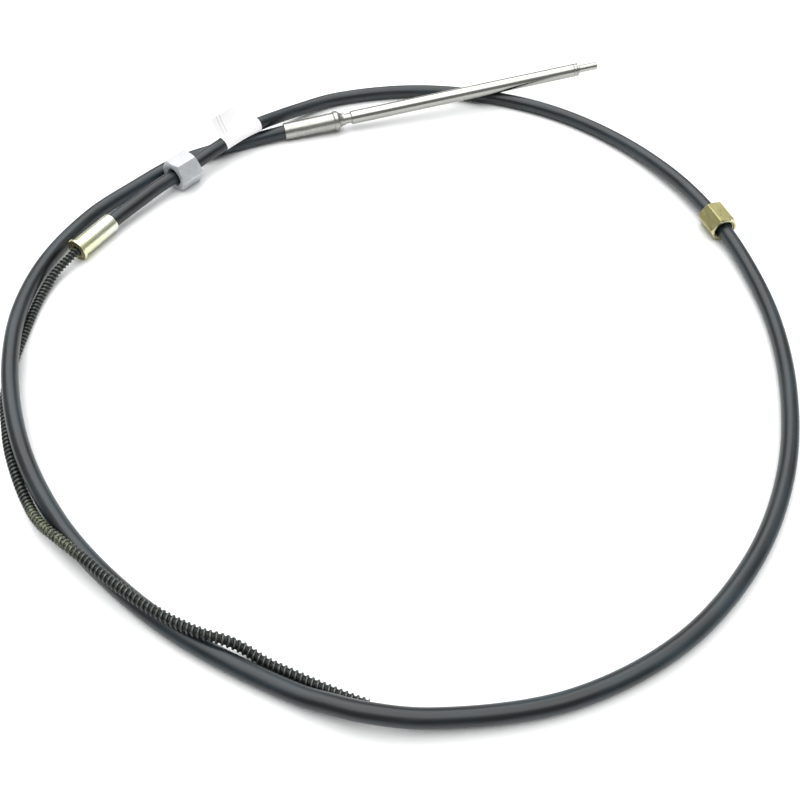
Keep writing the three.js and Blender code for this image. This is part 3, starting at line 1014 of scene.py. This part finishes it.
class CABLE_OT_output(Operator):
    """Adds the output sleeve with its collar and shoulder, and the support tube behind it."""

    bl_idname = "cable.output"
    bl_label = "Add output end"

    BORE = 8.5
    BORE_DEPTH = 24
    SLEEVE = (9.9, 10.6)
    SLEEVE_LENGTH = 62
    COLLAR = 11.7
    COLLAR_END = 68
    SHOULDER_END = 76
    SUPPORT = 6.1
    SUPPORT_END = 366
    SOCKET = 10
    SOCKET_PLAY = 0.3
    LIP = 0.9
    COLLAR_BREAK = 1
    STEPS = 8
    SHOULDER_POWER = 0.8

    def sleeve(self):
        """The sleeve's section, from its bore outwards and back along the socket."""
        thin, thick = self.SLEEVE
        shares = [step / self.STEPS for step in range(1, self.STEPS + 1)]
        taper = [(thin + (thick - thin) * s, self.SLEEVE_LENGTH * s) for s in shares[:-1]]
        collar = self.COLLAR - self.COLLAR_BREAK
        lip = self.SUPPORT + self.LIP
        socket = self.SUPPORT + self.SOCKET_PLAY
        floor = self.SHOULDER_END - self.SOCKET
        drop = collar - lip
        run = self.SHOULDER_END - self.COLLAR_END
        shoulder = []
        for share in shares:
            radius = collar - drop * math.sin(share * math.pi / 2) ** self.SHOULDER_POWER
            shoulder.append((radius, self.COLLAR_END + run * share))
        return [
            (self.BORE, 0.4),
            (self.BORE + 0.4, 0),
            (thin - 0.5, 0),
            (thin, 0.5),
            *taper,
            (thick, self.SLEEVE_LENGTH - 0.2),
            (thick + 0.4, self.SLEEVE_LENGTH),
            (self.COLLAR - 0.3, self.SLEEVE_LENGTH + 0.4),
            (self.COLLAR, self.SLEEVE_LENGTH + 0.9),
            (self.COLLAR, self.COLLAR_END - self.COLLAR_BREAK),
            (self.COLLAR - 0.35, self.COLLAR_END - 0.35),
            (collar, self.COLLAR_END),
            *shoulder,
            (socket, self.SHOULDER_END),
            (socket, floor),
            (0, floor),
            (0, self.BORE_DEPTH),
            (self.BORE, self.BORE_DEPTH),
        ]

    def support(self):
        """The support tube's section, its far end rounded over inside the ram."""
        start = self.SHOULDER_END - self.SOCKET + self.SOCKET_PLAY
        return [
            (0, start),
            (self.SUPPORT, start),
            (self.SUPPORT, self.SHOULDER_END + 4),
            (self.SUPPORT, self.SUPPORT_END / 2),
            (self.SUPPORT, self.SUPPORT_END - 0.6),
            (self.SUPPORT - 0.6, self.SUPPORT_END),
            (0, self.SUPPORT_END),
        ]

    def execute(self, context):
        sides = context.scene.cable_sizes.sides
        steel = turned_stainless(context.scene.cable_colours)
        pieces = {
            "output_sleeve": (self.sleeve(), "output_hub"),
            "support_pipe": (self.support(), "support_tube"),
        }
        for name, (profile, node) in pieces.items():
            mesh = turned_mesh(name, profile, OUTPUT_MOUTH, OUTPUT_AXIS, sides)
            add_piece(mesh, [steel], "cable", node)
        return {"FINISHED"}


class CABLE_OT_ram(Operator):
    """Adds the ram that slides on the support tube, and the nose in its end."""

    bl_idname = "cable.ram"
    bl_label = "Add ram"

    START = 84
    END = 385
    RADIUS = 7.94
    BORE = 6.5
    PLUG_DEPTH = 12
    TIP = 4.7
    TIP_END = 411
    # Distances of the grooves' middles from the ram's end, half their widths and their depth
    GROOVES = (7, 2.5)
    GROOVE_HALF = 0.6
    GROOVE_FLOOR = 0.2
    GROOVE_DEPTH = 0.4
    PLUG_PLAY = 0.1

    def tube(self):
        """The ram's section, with a pair of roll grooves near its far end."""
        grooves = []
        floor = self.RADIUS - self.GROOVE_DEPTH
        for distance in self.GROOVES:
            middle = self.END - distance
            grooves.append((self.RADIUS, middle - self.GROOVE_HALF))
            grooves.append((floor, middle - self.GROOVE_FLOOR))
            grooves.append((floor, middle + self.GROOVE_FLOOR))
            grooves.append((self.RADIUS, middle + self.GROOVE_HALF))
        return [
            (self.BORE, self.START + 0.3),
            (self.BORE + 0.3, self.START),
            (self.RADIUS - 0.5, self.START),
            (self.RADIUS, self.START + 0.5),
            *[(self.RADIUS, height) for height in range(self.START + 20, self.END - 20, 40)],
            *grooves,
            (self.RADIUS, self.END - 0.5),
            (self.RADIUS - 0.5, self.END),
            (self.BORE, self.END),
        ]

    def nose(self):
        """The plug's section with the reduced tip."""
        plug = self.BORE - self.PLUG_PLAY
        return [
            (0, self.END - self.PLUG_DEPTH),
            (plug, self.END - self.PLUG_DEPTH),
            (plug, self.END + 0.6),
            (plug - 0.5, self.END + 1.1),
            (self.TIP + 0.5, self.END + 1.3),
            (self.TIP, self.END + 1.8),
            (self.TIP, self.TIP_END - 12),
            (self.TIP, self.TIP_END - 0.7),
            (self.TIP - 0.7, self.TIP_END),
            (1.6, self.TIP_END),
            (0, self.TIP_END - 0.8),
        ]

    def execute(self, context):
        sides = context.scene.cable_sizes.sides
        steel = ground_stainless(context.scene.cable_colours)
        pieces = {"ram_pipe": (self.tube(), "ram_tube"), "ram_nose": (self.nose(), "ram_end")}
        for name, (profile, node) in pieces.items():
            mesh = turned_mesh(name, profile, OUTPUT_MOUTH, OUTPUT_AXIS, sides)
            add_piece(mesh, [steel], "ram", node)
        return {"FINISHED"}


class CABLE_OT_stage(Operator):
    """Adds the floor, the lights and the white room round them."""

    bl_idname = "cable.stage"
    bl_label = "Add stage"

    KEY_PLACE = (-0.35, 1.5, 2.0)
    KEY_SIZE = (3.0, 1.6)
    FILL_PLACE = (0.0, -0.2, 2.2)
    FILL_SIZE = (3.0, 2.0)
    # The room brightens from this direction's far side towards it
    BRIGHT_SIDE = (0.0, 0.3, 0.954)

    def add_floor(self, context):
        """The floor, with room enough for a low camera."""
        half = context.scene.cable_stage.floor / 2
        corners = [(-half, -half, 0), (half, -half, 0), (half, half, 0), (-half, half, 0)]
        mesh = bpy.data.meshes.new("floor")
        mesh.from_pydata(corners, [], [(0, 1, 2, 3)])
        mesh.materials.append(floor_board(context.scene.cable_colours))
        floor = bpy.data.objects.new("floor", mesh)
        context.scene.collection.objects.link(floor)

    def add_light(self, context, name, place, size, power):
        """A soft box that faces the middle of the loop."""
        data = bpy.data.lights.new(name, "AREA")
        data.shape = "RECTANGLE"
        data.size, data.size_y = size
        data.energy = power
        light = bpy.data.objects.new(name, data)
        light.location = place
        light.rotation_euler = (-Vector(place)).to_track_quat("-Z", "Y").to_euler()
        context.scene.collection.objects.link(light)

    def add_room(self, context):
        """A white room, bright behind the loop and dark behind the camera."""
        stage = context.scene.cable_stage
        world = bpy.data.worlds.new("white_room")
        world.use_nodes = True
        tree = world.node_tree
        tree.nodes.clear()
        direction = add_node(tree, "ShaderNodeTexCoord").outputs["Generated"]
        side = add_node(
            tree,
            "ShaderNodeVectorMath",
            {"operation": "DOT_PRODUCT"},
            {0: direction, 1: self.BRIGHT_SIDE},
        ).outputs["Value"]
        strength = spread(tree, side, 0.35, 0.75, stage.front, stage.back)
        inputs = {"Color": WHITE, "Strength": strength}
        light = add_node(tree, "ShaderNodeBackground", inputs=inputs)
        add_node(tree, "ShaderNodeOutputWorld", inputs={"Surface": light.outputs[0]})
        context.scene.world = world
        context.scene.view_settings.view_transform = "Standard"

    def execute(self, context):
        self.add_floor(context)
        stage = context.scene.cable_stage
        self.add_light(context, "key_light", self.KEY_PLACE, self.KEY_SIZE, stage.key)
        self.add_light(context, "fill_light", self.FILL_PLACE, self.FILL_SIZE, stage.fill)
        self.add_room(context)
        return {"FINISHED"}


PIECE_OPERATORS = (
    CABLE_OT_camera,
    CABLE_OT_jacket,
    CABLE_OT_core,
    CABLE_OT_label,
    CABLE_OT_ferrule,
    CABLE_OT_nuts,
    CABLE_OT_output,
    CABLE_OT_ram,
    CABLE_OT_stage,
)


class CABLE_PT_panel(Panel):
    """Lists the cable's operators and settings in the sidebar."""

    bl_label = "Boat steering cable"
    bl_idname = "CABLE_PT_panel"
    bl_space_type = "VIEW_3D"
    bl_region_type = "UI"
    bl_category = "Cable"

    def draw(self, context):
        for setting in SETTINGS:
            group = getattr(context.scene, setting)
            box = self.layout.box()
            for name in group.bl_rna.properties.keys():
                if name not in {"rna_type", "name"}:
                    box.prop(group, name)
        for operator in PIECE_OPERATORS:
            self.layout.operator(operator.bl_idname)


SETTINGS = {
    "cable_sizes": CableSizes,
    "cable_colours": CableColours,
    "cable_stage": CableStage,
}
CLASSES = (*SETTINGS.values(), *PIECE_OPERATORS, CABLE_PT_panel)


def register():
    """Registers the classes and puts the settings on the scene."""
    for cls in CLASSES:
        bpy.utils.register_class(cls)
    for name, group in SETTINGS.items():
        setattr(bpy.types.Scene, name, PointerProperty(type=group))


def unregister():
    """Takes the settings off the scene and the classes out."""
    for name in SETTINGS:
        delattr(bpy.types.Scene, name)
    for cls in reversed(CLASSES):
        bpy.utils.unregister_class(cls)


def main():
    """Builds every piece and the stage."""
    register()
    bpy.ops.cable.camera()
    bpy.ops.cable.jacket()
    bpy.ops.cable.core()
    bpy.ops.cable.label()
    bpy.ops.cable.ferrule()
    bpy.ops.cable.nuts()
    bpy.ops.cable.output()
    bpy.ops.cable.ram()
    bpy.ops.cable.stage()


if __name__ == "__main__":
    main()
